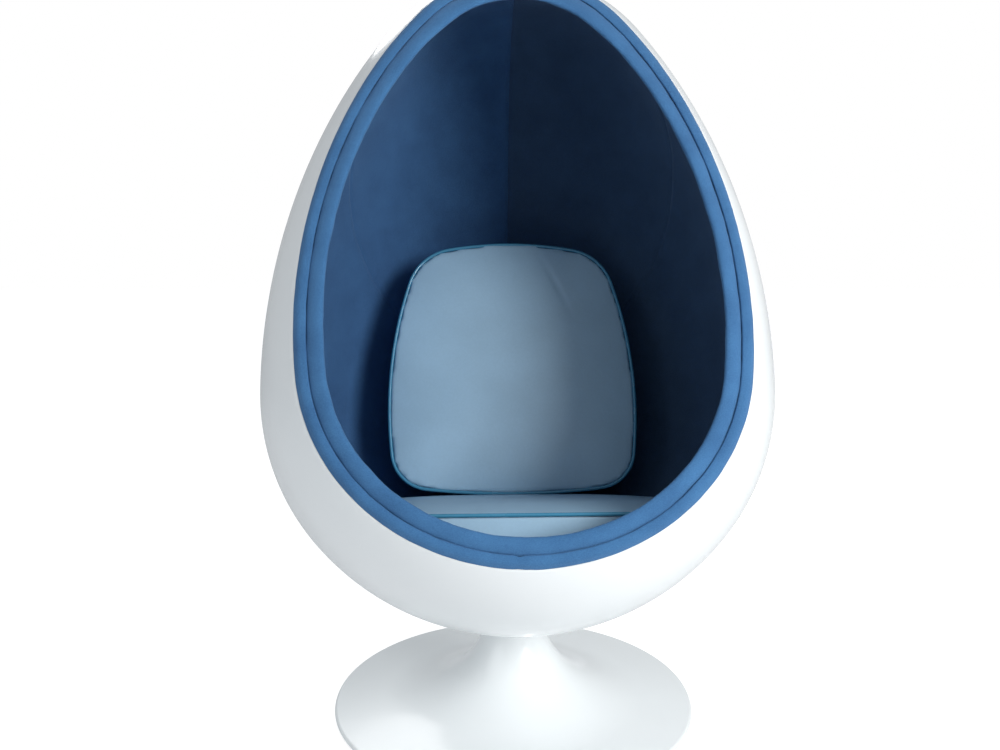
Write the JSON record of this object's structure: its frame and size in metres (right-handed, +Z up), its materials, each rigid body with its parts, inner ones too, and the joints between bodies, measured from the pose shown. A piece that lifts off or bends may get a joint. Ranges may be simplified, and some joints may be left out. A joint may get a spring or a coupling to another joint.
{
  "type": "pod chair",
  "caption": "Egg-shaped swivel lounge chair: glossy shell on a trumpet pedestal, padded rim, felt-lined inside, loose seat and back cushions.",
  "frame": {"origin": "on the floor, on the swivel axis under the pedestal", "axes": "+Z up along the swivel axis, the opening faces -Y, +X to the right seen from the front"},
  "size_m": [0.85, 0.8351, 1.3069],
  "materials": {
    "white_gelcoat": "polished white gelcoat",
    "foot_rubber": "matt black rubber",
    "weight_plate": "black powder coat",
    "zinc_steel": "zinc plated",
    "bearing_polymer": "natural acetal",
    "plywood": "birch plywood, sanded",
    "carrier_polymer": "flexible trim profile",
    "foam": "open-cell foam",
    "blue_felt": "navy wool felt with a fine fleck",
    "rim_cover": "blue wool felt",
    "cushion_cover": "satin coated fabric",
    "piping": "satin coated cord"
  },
  "bodies": {
    "base": {"base_pedestal": "white_gelcoat", "base_foot_pad": "foot_rubber", "base_weight_plate": "weight_plate", "plate_screws": "zinc_steel", "base_column": "zinc_steel", "column_bolts": "zinc_steel", "neck_ring": "bearing_polymer", "upper_bush": "bearing_polymer", "lower_bush": "bearing_polymer", "thrust_washer": "bearing_polymer"},
    "pod": {"swivel_plate": "zinc_steel", "spindle": "zinc_steel", "retaining_washer": "zinc_steel", "retaining_bolt": "zinc_steel", "pod_saddle": "white_gelcoat", "backing_block": "plywood", "backing_plate": "zinc_steel", "pod_washers": "zinc_steel", "pod_bolts": "zinc_steel", "pod_shell": "white_gelcoat", "foam_liner": "foam", "lining_upper_left": "blue_felt", "lining_upper_right": "blue_felt", "lining_lower_left": "blue_felt", "lining_lower_right": "blue_felt", "rim_edge_band": "rim_cover", "rim_carrier": "carrier_polymer", "rim_roll_foam": "foam", "rim_roll_cover": "rim_cover", "seat_base_foam": "foam", "seat_base_felt": "blue_felt"},
    "seat_cushion": {"seat_foam": "foam", "seat_cover_top": "cushion_cover", "seat_cover_border": "cushion_cover", "seat_cover_base": "cushion_cover", "seat_piping": "piping"},
    "back_cushion": {"back_foam": "foam", "back_cover_front": "cushion_cover", "back_cover_border": "cushion_cover", "back_cover_rear": "cushion_cover", "back_piping": "piping"}
  },
  "joints": [
    {"name": "swivel", "type": "hinge", "parent": "base", "child": "pod", "pos_m": [0, 0, 0.1], "axis": [0, 0, 1], "continuous": true},
    {"name": "seat_cushion_lift", "type": "slide", "parent": "pod", "child": "seat_cushion", "axis": [0, 0, 1], "range_m": [0, 0.06]},
    {"name": "back_cushion_lift", "type": "slide", "parent": "seat_cushion", "child": "back_cushion", "axis": [0, -0.891, 0.454], "range_m": [0, 1]}
  ]
}
